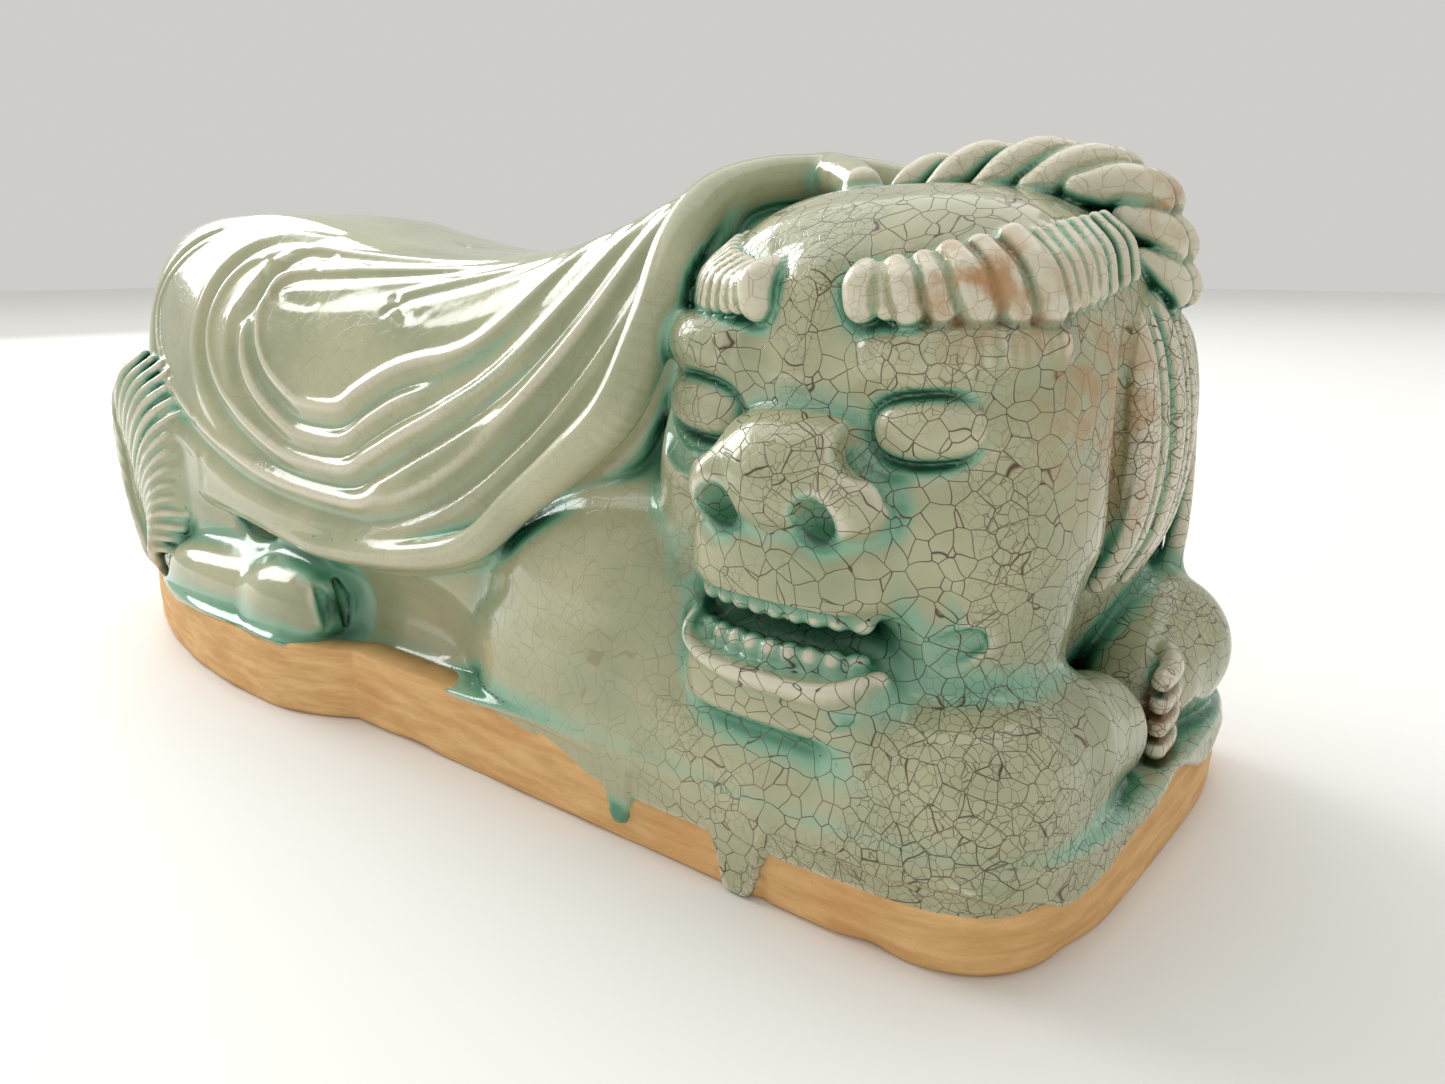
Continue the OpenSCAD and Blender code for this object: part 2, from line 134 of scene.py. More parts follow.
class Clay:
    """A block of clay: at each sample, the height over the skin and the piece it belongs to."""

    def __init__(self, x, y, z):
        self.axes = [np.asarray(a, np.float32) for a in (x, y, z)]
        shape = [len(a) for a in self.axes]
        self.height = np.full(shape, FAR, np.float32)
        self.owner = np.zeros(shape, np.uint8)
        self.pool = np.zeros(shape, np.float32)
        self.names = ["air"]

    def label(self, name):
        """The number that stands for a piece, which is made on its first use."""
        if name not in self.names:
            self.names.append(name)
        return self.names.index(name)

    def window(self, low, high):
        """The samples inside a box, and their coordinates ready to broadcast."""
        cut = tuple(
            slice(int(np.searchsorted(a, lo)), int(np.searchsorted(a, hi)))
            for a, lo, hi in zip(self.axes, low, high)
        )
        x, y, z = (a[c] for a, c in zip(self.axes, cut))
        return cut, x[:, None, None], y[None, :, None], z[None, None, :]

    def merge(self, name, cut, field, blend):
        """Adds clay, and gives the piece every sample that it reaches deeper than the rest."""
        old = self.height[cut]
        owner = self.owner[cut]
        owner[field < old] = self.label(name)
        self.height[cut] = smooth_min(old, field, blend)

    def carve(self, cut, field, blend):
        """Takes away the clay inside a field."""
        self.height[cut] = smooth_max(self.height[cut], -field, blend)

    def blob(self, name, centre, radii, blend=4.0, turn=None, power=2.0):
        """An ellipsoid, squarer for a power over 2. Without a name it is scooped out."""
        centre = np.asarray(centre, float)
        rot = np.eye(3) if turn is None else turned(turn)
        extent = np.abs(rot) @ np.asarray(radii, float) + REACH
        cut, x, y, z = self.window(centre - extent, centre + extent)
        x, y, z = x - centre[0], y - centre[1], z - centre[2]
        total, slope = 0.0, 0.0
        for axis, radius in zip(rot.T, radii):
            along = np.abs(x * axis[0] + y * axis[1] + z * axis[2]) / radius
            total = total + along**power
            slope = slope + (along ** (power - 1) / radius) ** 2
        q = np.maximum(total, 1e-9) ** (1 / power)
        field = (q - 1) * q ** (power - 1) / np.sqrt(slope + 1e-12)
        field = np.maximum(field, -min(radii)).astype(np.float32)
        if name:
            self.merge(name, cut, field, blend)
        else:
            self.carve(cut, field, blend)

    def rope(self, name, points, blend=1.5, step=2.5):
        """A round bar along rows of x, y, z, radius. Without a name it is scooped out."""
        path = spline(points, step)
        reach = path[:, 3:4] + REACH
        cut, *_ = self.window((path[:, :3] - reach).min(0), (path[:, :3] + reach).max(0))
        field = np.full([c.stop - c.start for c in cut], FAR, np.float32)
        for a, b in zip(path[:-1], path[1:]):
            low = np.minimum(a[:3] - a[3], b[:3] - b[3]) - REACH
            high = np.maximum(a[:3] + a[3], b[:3] + b[3]) + REACH
            sub, x, y, z = self.window(low, high)
            rel = tuple(slice(s.start - c.start, s.stop - c.start) for s, c in zip(sub, cut))
            d = b[:3] - a[:3]
            x, y, z = x - a[0], y - a[1], z - a[2]
            t = np.clip((x * d[0] + y * d[1] + z * d[2]) / max(d @ d, 1e-9), 0, 1)
            gap = np.sqrt((x - t * d[0]) ** 2 + (y - t * d[1]) ** 2 + (z - t * d[2]) ** 2)
            field[rel] = np.minimum(field[rel], gap - (a[3] + t * (b[3] - a[3])))
        if name:
            self.merge(name, cut, field, blend)
        else:
            self.carve(cut, field, blend)

    def stroke(self, points, profile, width, step=3.0):
        """A tool stroke along x, y, z, strength: profile(side) gives the height that it
        leaves, side being the distance from the stroke in widths, positive to its left."""
        path = spline(points, step)
        reach = 3.2 * width
        cut, *_ = self.window(path[:, :3].min(0) - reach, path[:, :3].max(0) + reach)
        shape = [c.stop - c.start for c in cut]
        best = np.full(shape, reach * reach, np.float32)
        lift = np.zeros(shape, np.float32)
        normals = self.normals(path[:, :3])
        for i in range(len(path) - 1):
            a, b = path[i], path[i + 1]
            d = b[:3] - a[:3]
            left = np.cross(normals[i] + normals[i + 1], d)
            left /= max(np.linalg.norm(left), 1e-9)
            low = np.minimum(a[:3], b[:3]) - reach
            sub, x, y, z = self.window(low, np.maximum(a[:3], b[:3]) + reach)
            rel = tuple(slice(s.start - c.start, s.stop - c.start) for s, c in zip(sub, cut))
            x, y, z = x - a[0], y - a[1], z - a[2]
            t = np.clip((x * d[0] + y * d[1] + z * d[2]) / max(d @ d, 1e-9), 0, 1)
            x, y, z = x - t * d[0], y - t * d[1], z - t * d[2]
            gap = x * x + y * y + z * z
            side = (x * left[0] + y * left[1] + z * left[2]) / width
            closer = gap < best[rel]
            best[rel] = np.where(closer, gap, best[rel])
            strength = a[3] + t * (b[3] - a[3])
            lift[rel] = np.where(closer, strength * profile(side), lift[rel])
        lift = lift * (1 - ramp(np.sqrt(best), 0.6 * reach, reach))
        self.height[cut] -= lift
        self.pool[cut] = np.maximum(self.pool[cut], -lift)

    def sample(self, points, field=None):
        """The height at each point, read between the samples and kept within REACH."""
        field = self.height if field is None else field
        at = [
            np.clip(np.interp(points[:, k], a, np.arange(len(a))), 0, len(a) - 1.001)
            for k, a in enumerate(self.axes)
        ]
        low = [a.astype(np.int32) for a in at]
        part = [(a - lo).astype(np.float32) for a, lo in zip(at, low)]
        out = np.zeros(len(points), np.float32)
        for i in (0, 1):
            for j in (0, 1):
                for k in (0, 1):
                    share = 1.0
                    for p, bit in zip(part, (i, j, k)):
                        share = share * (p if bit else 1 - p)
                    value = field[low[0] + i, low[1] + j, low[2] + k]
                    out += share * np.clip(value, -REACH, REACH)
        return out

    def normals(self, points, h=1.0):
        """Unit outward directions of the skin near each point."""
        g = np.empty((len(points), 3))
        for k in range(3):
            step = np.zeros(3)
            step[k] = h
            g[:, k] = self.sample(points + step) - self.sample(points - step)
        return g / np.maximum(np.linalg.norm(g, axis=1, keepdims=True), 1e-9)

    def skin(self, start, direction, reach=110.0):
        """Where a ray from inside the clay comes out of it for the last time."""
        direction = np.asarray(direction, float)
        direction = direction / np.linalg.norm(direction)
        t = np.arange(0, reach, 0.5)
        h = self.sample(np.asarray(start, float) + t[:, None] * direction)
        inside = np.nonzero((h[:-1] < 0) & (h[1:] >= 0))[0]
        if not len(inside):
            return np.asarray(start, float)
        i = inside[-1]
        t = t[i] + 0.5 * h[i] / (h[i] - h[i + 1])
        return np.asarray(start, float) + t * direction


def skinned(clay):
    """Skins every piece: {name: (vertices, faces)}.
    Each cell where pieces or air meet gets one vertex, which its pieces share."""
    nx, ny, nz = clay.height.shape
    cells = (nx, ny, nz)
    keys, spots, weights, quads, first, second = [], [], [], [], [], []
    around = {
        0: [(0, -1, -1), (0, 0, -1), (0, 0, 0), (0, -1, 0)],
        1: [(-1, 0, -1), (-1, 0, 0), (0, 0, 0), (0, 0, -1)],
        2: [(-1, -1, 0), (0, -1, 0), (0, 0, 0), (-1, 0, 0)],
    }
    own = np.where(clay.height < 0, clay.owner, 0).astype(np.uint8)
    for axis in range(3):
        a = [slice(1, -1)] * 3
        b = [slice(1, -1)] * 3
        a[axis] = slice(1, -2)
        b[axis] = slice(2, -1)
        ijk = np.argwhere(own[tuple(a)] != own[tuple(b)]) + 1
        other = ijk.copy()
        other[:, axis] += 1
        own_a, own_b = own[tuple(ijk.T)], own[tuple(other.T)]
        open_air = (own_a == 0) | (own_b == 0)
        ha, hb = clay.height[tuple(ijk.T)], clay.height[tuple(other.T)]
        t = np.where(open_air, np.clip(ha / np.where(ha == hb, 1, ha - hb), 0, 1), 0.5)
        spot = np.stack([clay.axes[k][ijk[:, k]] for k in range(3)], 1).astype(float)
        spot[:, axis] += t * (clay.axes[axis][other[:, axis]] - spot[:, axis])
        four = []
        for offset in around[axis]:
            cell = ijk + np.array(offset)
            key = np.ravel_multi_index(tuple(cell.T), cells)
            four.append(key)
            keys.append(key)
            spots.append(spot)
            weights.append(np.where(open_air, 1.0, 1e-4))
        quads.append(np.stack(four, 1))
        first.append(own_a)
        second.append(own_b)
    keys = np.concatenate(keys)
    unique, inverse = np.unique(keys, return_inverse=True)
    weights = np.concatenate(weights)
    spots = np.concatenate(spots)
    total = np.bincount(inverse, weights)
    verts = np.stack([np.bincount(inverse, weights * spots[:, k]) / total for k in range(3)], 1)
    outside = total > 0.5
    for _ in range(2):
        skin = verts[outside]
        shift = np.clip(clay.sample(skin), -0.4, 0.4)[:, None]
        verts[outside] = skin - shift * clay.normals(skin, 0.6)
    quads = np.searchsorted(unique, np.concatenate(quads))
    first, second = np.concatenate(first), np.concatenate(second)
    pieces = {}
    for n, name in enumerate(clay.names[1:], 1):
        faces = np.vstack([quads[first == n], quads[second == n][:, ::-1]])
        if len(faces):
            used = np.unique(faces)
            pieces[name] = (verts[used], np.searchsorted(used, faces))
    return pieces


# ---- plinth shape ----------------------------------------------------------


def half_width(x):
    """Half the plinth's width along its length, up to where the front end rounds off."""
    b, w = PLINTH_W / 2, FRONT_W / 2
    rear = b * np.sqrt(np.clip(1 - ((x - LOBE_X) / LOBE_A) ** 2, 0, 1))
    t = np.clip((x - LOBE_X) / NOTCH_L, 0, 1)
    notch = w + (b - w) * (0.5 + 0.5 * np.cos(2 * np.arcsin(t)))
    return np.where(x < LOBE_X, rear, notch)


def outline(inset, steps):
    """The plinth's outline as points on one closed loop, at an inset."""
    a, b, w = LOBE_A - inset, PLINTH_W / 2 - inset, FRONT_W / 2 - inset
    x_end = PLINTH_L / 2 - inset
    t = np.radians(np.linspace(180, 90, steps, endpoint=False))
    rear = np.stack([LOBE_X + a * np.cos(t), b * np.sin(t)], 1)
    t = np.radians(np.linspace(0, 90, steps // 2, endpoint=False))
    notch = np.stack([LOBE_X + NOTCH_L * np.sin(t), w + (b - w) * (0.5 + 0.5 * np.cos(2 * t))], 1)
    x = np.linspace(LOBE_X + NOTCH_L, x_end - NOSE_L, steps, endpoint=False)
    side = np.stack([x, np.full_like(x, w)], 1)
    t = np.radians(np.linspace(90, 0, steps))
    front = np.stack([x_end - NOSE_L + NOSE_L * np.sqrt(np.cos(t).clip(0)),
                      w * np.sqrt(np.sin(t).clip(0))], 1)
    far = np.vstack([rear, notch, side, front])
    return np.vstack([far, (far * [1, -1])[-2:0:-1]])


def outline_gap(x, y):
    """Distance out from the plinth's outline, negative inside it."""
    w = FRONT_W / 2
    a = np.clip((x - (PLINTH_L / 2 - NOSE_L)) / NOSE_L, 0, None)
    q = np.sqrt(np.sqrt(a**4 + (np.abs(y) / w) ** 4))
    slope = np.sqrt((a**3 / NOSE_L) ** 2 + ((np.abs(y) / w) ** 3 / w) ** 2)
    slope = slope / np.maximum(q, 1e-3) ** 3
    front = (q - 1) / np.maximum(slope, 1e-4)
    a, b = (x - LOBE_X) / LOBE_A, y / (PLINTH_W / 2)
    q = np.sqrt(a * a + b * b)
    slope = np.sqrt((a / LOBE_A) ** 2 + (b / (PLINTH_W / 2)) ** 2) / np.maximum(q, 1e-3)
    rear = (q - 1) / np.maximum(slope, 1e-4)
    bend = 0.5 * np.sin(2 * np.pi * np.clip((x - LOBE_X) / NOTCH_L, 0, 1)) ** 2
    middle = (np.abs(y) - half_width(x)) / (1 + 0.12 * bend)
    return np.where(x < LOBE_X, rear, np.where(x < LOBE_X + NOTCH_L, middle, front))


def glaze_line(x, y):
    """How low the glaze hangs on the plinth's wall, with the two long drips on its right."""
    right = 18.8 - 0.5 * ramp(x, 60, 80) - 2.2 * ramp(x, 98, 106) + 0.5 * np.sin(x * 0.11)
    right = right - 14.0 * flat_bell(x, DRIP_X[0], 3.6) - 16.0 * flat_bell(x, DRIP_X[1], 5.4)
    right = right - 1.5 * bell(x, 118, 11)
    right = right - 1.2 * bell(x, -85, 7) - 0.8 * bell(x, 40, 9) - 2.5 * bell(x, 172, 3.5)
    right = right + 1.8 * ramp(x, 145, 168)
    front = 13.5 + 4.5 * bell(y, -2, 14) + 1.2 * np.sin(y * 0.21) - 2.5 * bell(y, -46, 6)
    far = 18.4 + 0.9 * np.sin(x * 0.07 + 1) + 0.4 * np.sin(x * 0.19)
    far = far - 5.5 * bell(x, 66, 4.5) ** 2 - 8.0 * bell(x, 128, 5) ** 2
    wall = np.where(y < 0, right, far)
    at_end = ramp(x, 170, 178)
    return wall + (front - wall) * at_end


# ---- trunk shape -----------------------------------------------------------


def back_z(x):
    """Height of the back along the body."""
    rump = (RUMP_Z - SADDLE_Z) * bell(np.maximum(x, -98), -98, 62)
    return SADDLE_Z + rump + (FLAP_Z - SADDLE_Z) * bell(x, 105, 48)


# How far down the walls the drape's edge hangs, in degrees: rows of turn from the front, angle
EDGE = np.array([
    [0, 26], [14, 32], [26, 52], [38, 72], [60, 78], [78, 82],
    [100, 81], [124, 83], [150, 61], [165, 56], [180, 58],
])


def edge_angle(turn):
    """How far down the walls the drape's edge hangs, round the plan from the front end."""
    grid = np.linspace(0, 180, 181)
    fine = np.interp(grid, EDGE[:, 0], EDGE[:, 1])
    kernel = np.exp(-((np.arange(-12, 13) / 5.0) ** 2))
    padded = np.pad(fine, 12, mode="reflect")
    fine = np.convolve(padded, kernel / kernel.sum(), mode="valid")
    return np.interp(turn, grid, fine)


def trunk_fields(x, y, z, grow=0.0):
    """For each sample, the height over the trunk's skin and the distance in from the
    drape's edge, both in mm, and how much the sample is on the front end."""
    a = (np.abs(x - TRUNK_X) / (TRUNK_A + grow)) ** 1.25
    b = (np.abs(y) / (TRUNK_B + grow)) ** 1.25
    r = (a * a + b * b) ** 0.4
    turn = np.degrees(np.arctan2(b, a))
    turn = np.where(x < TRUNK_X, 180 - turn, turn)
    away = ramp(r, 0.05, 0.5)
    front = bell(turn, 0, 45) * away
    rear = bell(turn, 180, 50) * away
    plan = 0.55 - 0.4 * front - 0.36 * rear
    wall = 0.82 - 0.45 * front - 0.57 * rear
    out = r ** (2 / plan)
    up = np.abs((z - PLINTH_H) / (back_z(x) + grow - PLINTH_H)) ** (2 / wall)
    skin = (out + up) ** 0.3 - 1
    edge = edge_angle(turn) - np.degrees(np.arctan2(np.sqrt(out), np.sqrt(up)))
    fields = []
    for f in (skin, edge):
        slope = np.gradient(f.astype(np.float32), x.ravel(), y.ravel(), z.ravel())
        size = np.sqrt(slope[0] ** 2 + slope[1] ** 2 + slope[2] ** 2)
        fields.append((f / np.maximum(size, 1e-4)).astype(np.float32))
    return fields[0], fields[1], front


# ---- sculpting -------------------------------------------------------------


def sculpt_deck(clay):
    """The glazed ledge and the skirt of glaze that hangs over the plinth's wall."""
    cut, x, y, z = clay.window((-190, -80, -5), (190, 80, 30))
    gap = outline_gap(x, y)
    line = glaze_line(x, y)
    cover = ramp(z - line, -0.5, 0.6)
    bead = 0.5 * bell(z, line + 1.3, 1.5)
    wall = gap + 0.9 - (0.9 + GLAZE_T + bead) * cover
    slab = smooth_max(wall, z - PLINTH_H, 2.0)
    slab = np.maximum(slab, np.maximum(np.minimum(line - 2.5, 12.5), 0.5) - z)
    clay.merge("plinth_deck", cut, slab.astype(np.float32), 0)


def sculpt_trunk(clay):
    """The hollow body under the drape, and the distances that the drape needs."""
    cut, x, y, z = clay.window((-190, -80, 14), (122, 80, 150))
    skin, edge, front = trunk_fields(x, y, z)
    outer, _, _ = trunk_fields(x, y, z, LEAF_T)
    body = smooth_max(skin, 16.5 - z, 1.0)
    clay.merge("body_shell", cut, body, 2.0)
    for s in (-1, 1):
        clay.blob(None, (5, s * 66, 29), (36, 17, 13.5), 2.5, power=2.6)
        clay.blob(None, (-58, s * 66, 46), (15, 20, 9), 3)
    return cut, skin, outer, edge, front


def sculpt_limb_masses(clay):
    """Shoulders and haunches, the far ones mirrored."""
    for s, name in ((-1, "right"), (1, "left")):
        clay.blob(f"shoulder_{name}", (75, s * 33, 40), (40, 28.5, 33), 7, power=2.3)
        clay.blob(f"shoulder_{name}", (80, s * 38, 28), (47, 24.8, 16), 7, power=3.0)
        clay.blob(f"haunch_{name}", (-96, s * 38, 50), (33, 20, 24), 8)


def sculpt_drape(clay, fields):
    """The leaf-shaped drape: a shell over the body with a rolled edge and front rim."""
    cut, skin, outer, edge, front = fields
    at_front = front * bell(edge, 0, 14)
    shell = smooth_max(outer - 1.5 * at_front, -edge, 4.5)
    shell = np.maximum(shell, -skin)
    clay.merge("leaf_drape", cut, shell.astype(np.float32), 1.2)


def sculpt_rim(clay):
    """The thick rolled edge along the sides of the drape and over its front."""
    for s in (-1, 1):
        clay.rope("leaf_rim", [
            [-62, s * 55.5, 46, 1.2], [-30, s * 59, 44.5, 2.8], [-11, s * 59.5, 44.5, 3.4],
            [20, s * 59.5, 48, 3.6], [43, s * 59, 54.5, 3.8], [59, s * 58.5, 66, 4.2],
            [74, s * 58, 77, 4.6], [86, s * 56, 88, 5.0], [90, s * 50, 103, 5.0],
            [87, s * 38, 119, 5.0], [86, s * 26, 128, 5.0], [89, s * 13, 132, 5.0],
            [97, 0, 133.2, 4.8], [107, -s * 8, 132, 4.4], [114, -s * 14, 130, 4.0]], 2.0)


def over_back(clay, rows, side, strength):
    """Points on the skin from rows of x and the angle down from the spine's top."""
    points = []
    for i, (x, angle) in enumerate(rows):
        a = math.radians(angle)
        p = clay.skin((x, 0, SPINE_Z), (0, side * math.sin(a), math.cos(a)))
        taper = min(1.0, 0.25 + 0.5 * i, 0.25 + 0.5 * (len(rows) - 1 - i))
        points.append([*p, strength * taper])
    return points


def fold(side):
    """A groove with a raised lip above it and a softer one below."""
    return -bell(side, 0, 1) + 0.62 * bell(side, 1.75, 0.9) + 0.3 * bell(side, -1.9, 1.1)


def leaf_line(start, rear, low, end, steep, wave):
    """A long line as rows of x and angle: back from its start round its rearmost point, down
    to its lowest, then forward and up to where the folds gather."""
    rows = []
    for t in np.radians((0, 30, 60)):
        rows.append((start[0] + (rear[0] - start[0]) * math.sin(t),
                     rear[1] + (start[1] - rear[1]) * math.cos(t)))
    for t in np.radians((0, 20, 40, 60, 74)):
        rows.append((rear[0] + (low[0] - rear[0]) * (1 - math.cos(t)) ** 0.9,
                     rear[1] + (low[1] - rear[1]) * math.sin(t)))
    for u in np.linspace(0.07, 1, 8):
        rise = u**steep + wave * math.sqrt(u) * math.sin(2 * math.pi * u)
        rows.append((low[0] + (end[0] - low[0]) * u, low[1] + (end[1] - low[1]) * rise))
    return rows


def hook_line(tip, end, inner, half=2.5):
    """A curl as rows of x and angle: back along its inner arm, round its tip, then out along
    its upper arm to where the folds gather."""
    x, angle = tip
    rows = [(x + inner, angle + half), (x + 2 * half, angle + half), (x, angle)]
    for u in np.linspace(0, 1, 5):
        rows.append((x + 2 * half + (end[0] - x - 2 * half) * u,
                     angle - half + (end[1] - angle + half) * u))
    return rows


def strand_line(start, end, bow):
    """A faint line as rows of x and angle, bowed down between its ends."""
    return [(start[0] + (end[0] - start[0]) * u,
             start[1] + (end[1] - start[1]) * u + bow * math.sin(math.pi * u))
            for u in np.linspace(0, 1, 5)]


def fold_lines():
    """The drape's pattern as (rows, strength, width) for each stroke."""
    strokes = []
    nested = [((-58, 22), (-131, 46)), ((-58, 31), (-84, 54)),
              ((-57, 46), (-64, 56)), ((-46, 34), (-59, 50))]
    for k, (start, rear) in enumerate(nested):
        low = (-10 - 1.5 * k, 96 - 6.7 * k)
        end = (GATHER_X - 8 * k, GATHER_ANGLE + 3 * k)
        strength = 1.2 if k == 2 else 1.65
        rows = leaf_line(start, rear, low, end, 1.6 + 0.2**k, 0.055 * k)
        strokes.append((rows, strength, 2.7))
    hooks = (((-60, 36), (36, 25), 16), ((-50, 44), (38, 27), 14), ((0, 44), (42, 29), 7))
    for tip, end, inner in hooks:
        strokes.append((hook_line(tip, end, inner), 0.5, 1.9))
    for start, end, bow in (((-50, 41), (34, 28), 1), ((-46, 50), (32, 30), 1), ((2, 49), (50, 29), 4),
                            ((-86, 12), (40, 21), 5), ((-70, 8), (38, 15), 1.5)):
        strokes.append((strand_line(start, end, bow), 0.14, 2.2))
    return strokes


def sculpt_folds(clay):
    """The drape's pattern: lines that run round the sagging leaf and gather at the flap."""
    for side in (-1, 1):
        def profile(across, flip=-side):
            """The fold with its raised lip always above the groove."""
            return fold(across * flip)
        for rows, strength, width in fold_lines():
            clay.stroke(over_back(clay, rows, side, strength), profile, width)


def sculpt_neck(clay):
    """The neck behind the head, short and thick."""
    clay.blob("neck_shell", (127, 20, 58), (34, 31, 38), 6, power=2.4)
    clay.blob("neck_shell", (122, -10, 36), (34, 34, 20), 6, power=2.4)


def sculpt_skull(clay):
    """The head's big forms, before its features."""
    name = "head_shell"
    clay.blob(name, (128.8, -12, 92), (41.2, 39.5, 38), 2.5, power=2.8)
    clay.blob(name, (127.5, -23, 82), (41.3, 28.5, 29), 5, power=3.6)
    clay.blob(name, (103, -33, 75), (17, 21.5, 20), 6)
    clay.blob(name, (102, -31, 60), (13, 20, 14), 6)
    clay.blob(name, (152, -30, 68), (17, 23, 20), 6, turn=(0, 0, -8))
    clay.blob(name, (153, -30, 52), (14.5, 20, 15), 6)
    clay.blob(name, (126, -41, 65), (23.5, 21, 10.5), 4, power=3.2)
    clay.rope(name, [[FACE_X, -46, 110, 7], [FACE_X, -46.5, 100, 6.5], [FACE_X, -47, 92, 6.5]], 7)
    clay.rope(None, [[148.5, -58, 74, 2.0], [152, -57, 66, 2.6], [154, -53, 59, 2.2]], 5)
    clay.rope(None, [[105, -59, 74, 1.8], [102, -58, 66, 2.2], [101, -54, 59, 1.8]], 5)
    clay.rope(None, [[171.5, -14, 110, 2.2], [171.5, -16, 100, 3.8], [170, -16, 86, 4.4],
                     [166.5, -15, 70, 4.2], [162, -14, 56, 3.0]], 1.5)


def sculpt_jaw(clay):
    """The lower jaw: a blunt block with a sharp lower edge and a full lip."""
    name = "lower_jaw"
    clay.blob(name, (130, -28, 43), (31, 25, 9.5), 2.5, power=3.0)
    clay.blob(name, (126.5, -41.5, 41), (22.5, 21.3, 7.2), 2.0, power=4.5)
    clay.rope(name, [[105.5, -53, 50.5, 2.2], [108.5, -59, 48, 2.6], [117, -61.8, 45.8, 2.7],
                     [127, -62.2, 45, 2.7], [137, -61.6, 45, 2.7], [143, -59.5, 45.6, 2.5],
                     [146.5, -56, 47, 1.9]], 1.6)
    clay.rope(None, [[108, -62.5, 40.6, 0.8], [118, -65, 39.8, 1.2], [127, -65.2, 39.4, 1.2],
                     [138, -64.6, 39.8, 1.1], [146, -60, 41, 0.6]], 2.2)


def sculpt_mouth(clay):
    """The open mouth between the lips, its corner, and the two rows of teeth."""
    clay.blob(None, (125.8, -61, 52.2), (18.8, 11.0, 5.9), 0.9, power=4.0)
    clay.rope(None, [[142, -59, 50.8, 0.8], [149, -55.5, 51.2, 1.9], [155, -51.5, 52.8, 2.5],
                     [159.5, -47.5, 55, 1.8]], 1.5)
    for k in range(9):
        u = -1 + k / 4
        x = 125.6 + 16.2 * u
        clay.rope("upper_teeth", [[x, -55.6 + 2.4 * u * u, 61, 2.6],
                                  [x, -56.2 + 2.4 * u * u, 56.2, 2.3]], 1.6)
        clay.rope("lower_teeth", [[x, -57.2 + 2.6 * u * u, 44, 2.6],
                                  [x, -57.5 + 2.6 * u * u, 48.6, 2.3]], 1.6)


def sculpt_nose(clay):
    """A broad domed nose with full wings, hollow nostrils and a hollow under each."""
    name = "nose"
    x = FACE_X + 0.3
    clay.rope(None, [[x - 20, -54.5, 79, 1.2], [x - 16, -55.5, 87, 1.7], [x - 8, -55.5, 92.5, 1.6],
                     [x + 4, -55.5, 93.0, 1.6], [x + 13, -55, 90.5, 1.8], [x + 19.5, -54.5, 82, 1.4]], 3.0)
    clay.blob(name, (x, -49.5, 81.5), (18, 15, 10.8), 1.0, power=2.3)
    clay.blob(name, (x, -55, 79.5), (11, 11.5, 9.8), 3.0)
    for s in (-1, 1):
        clay.blob(name, (x + 11.8 * s, -55.5, 77.8), (8.2, 9.2, 8.0), 2.5)
        clay.blob(None, (x + 10.2 * s, -66, 75.0), (4.2, 9.0, 4.0), 0.8)
        clay.rope(None, [[x + 6 * s, -64.5, 70.5, 1.6], [x + 12 * s, -64, 68.5, 2.2],
                         [x + 18 * s, -61, 71, 1.6]], 2.0)


def sculpt_eye(clay, side):
    """A bulging eye in a sharp-edged socket, under the roll of the brow."""
    x = FACE_X + 22.8 * side
    name = "eye_left" if side > 0 else "eye_right"
    clay.rope("head_shell", [[x - 13 * side, -48.5, 99.3, 4.5], [x - 6 * side, -49.0, 100.2, 5.6],
                             [x + 3 * side, -47.6, 101.2, 5.6], [x + 9 * side, -44.5, 102.0, 4.8],
                             [x + 16 * side, -37.5, 103.5, 2.6]], 3.0)
    slant = (0, -6 * side, 12 * side)
    clay.blob(None, (x + side, -56.5, 89.2), (12.6, 10.0, 7.4), 1.2, turn=slant, power=2.5)
    clay.blob(name, (x + 0.4 * side, -46.4, 90.0), (10.4, 7.2, 5.9), 0.3, turn=slant, power=2.4)
    clay.rope(None, [[x - 10 * side, -54, 84, 1.2], [x - 4 * side, -54.5, 80.4, 2.0],
                     [x + 4 * side, -53, 80.4, 1.8], [x + 11 * side, -49.5, 84, 1.2]], 2.5)


def sculpt_brow(clay, side):
    """Blunt beads from the nose outwards, then a fringe of fine ribs round the temple."""
    name = "brow_left" if side > 0 else "brow_right"
    low = np.array([[9.5, -52, 109.5], [16.5, -51.5, 108.5], [25.5, -48, 108.5], [33, -41.5, 108.5],
                    [37.5, -33.5, 109.5], [39, -24, 111.5], [39.5, -9, 114.5]])
    top = np.array([[9, -50, 114], [14.5, -49, 115], [22.5, -44.5, 117], [29, -35.5, 119.5],
                    [32, -22, 122], [33, -8, 124]])
    ribs = [[0.1, 3.1], [0.75, 2.0], [1.2, 2.7], [1.75, 2.5], [2.3, 3.2], [2.85, 3.0], [3.45, 3.5],
            [3.95, 1.7], [4.25, 1.6], [4.55, 1.6], [4.85, 1.6], [5.15, 1.5], [5.5, 1.5], [5.8, 1.4]]
    if side < 0:
        ribs = [[0.2, 3.5]] + [[0.85 + 0.36 * k, 1.9 - 0.03 * k] for k in range(14)]
    for at, r in ribs:
        ends = []
        for row, share in ((low, 1.0), (top, 5 / 6)):
            spot = [np.interp(at * share, np.arange(len(row)), row[:, c]) for c in range(3)]
            ends.append(np.array([HEAD_X - 1.5 + spot[0] * side, spot[1], spot[2]]))
        a, b = ends
        out = np.array([(a[0] - HEAD_X) / 41, (a[1] + 13) / 42, 0.3])
        out /= np.linalg.norm(out)
        mid = (a + b) / 2 + out * 1.6
        rows = [[*a, r * 1.05], [*mid, r * 1.05], [*b, r * 0.85]]
        clay.rope(name, rows, 0.5, step=1.5)


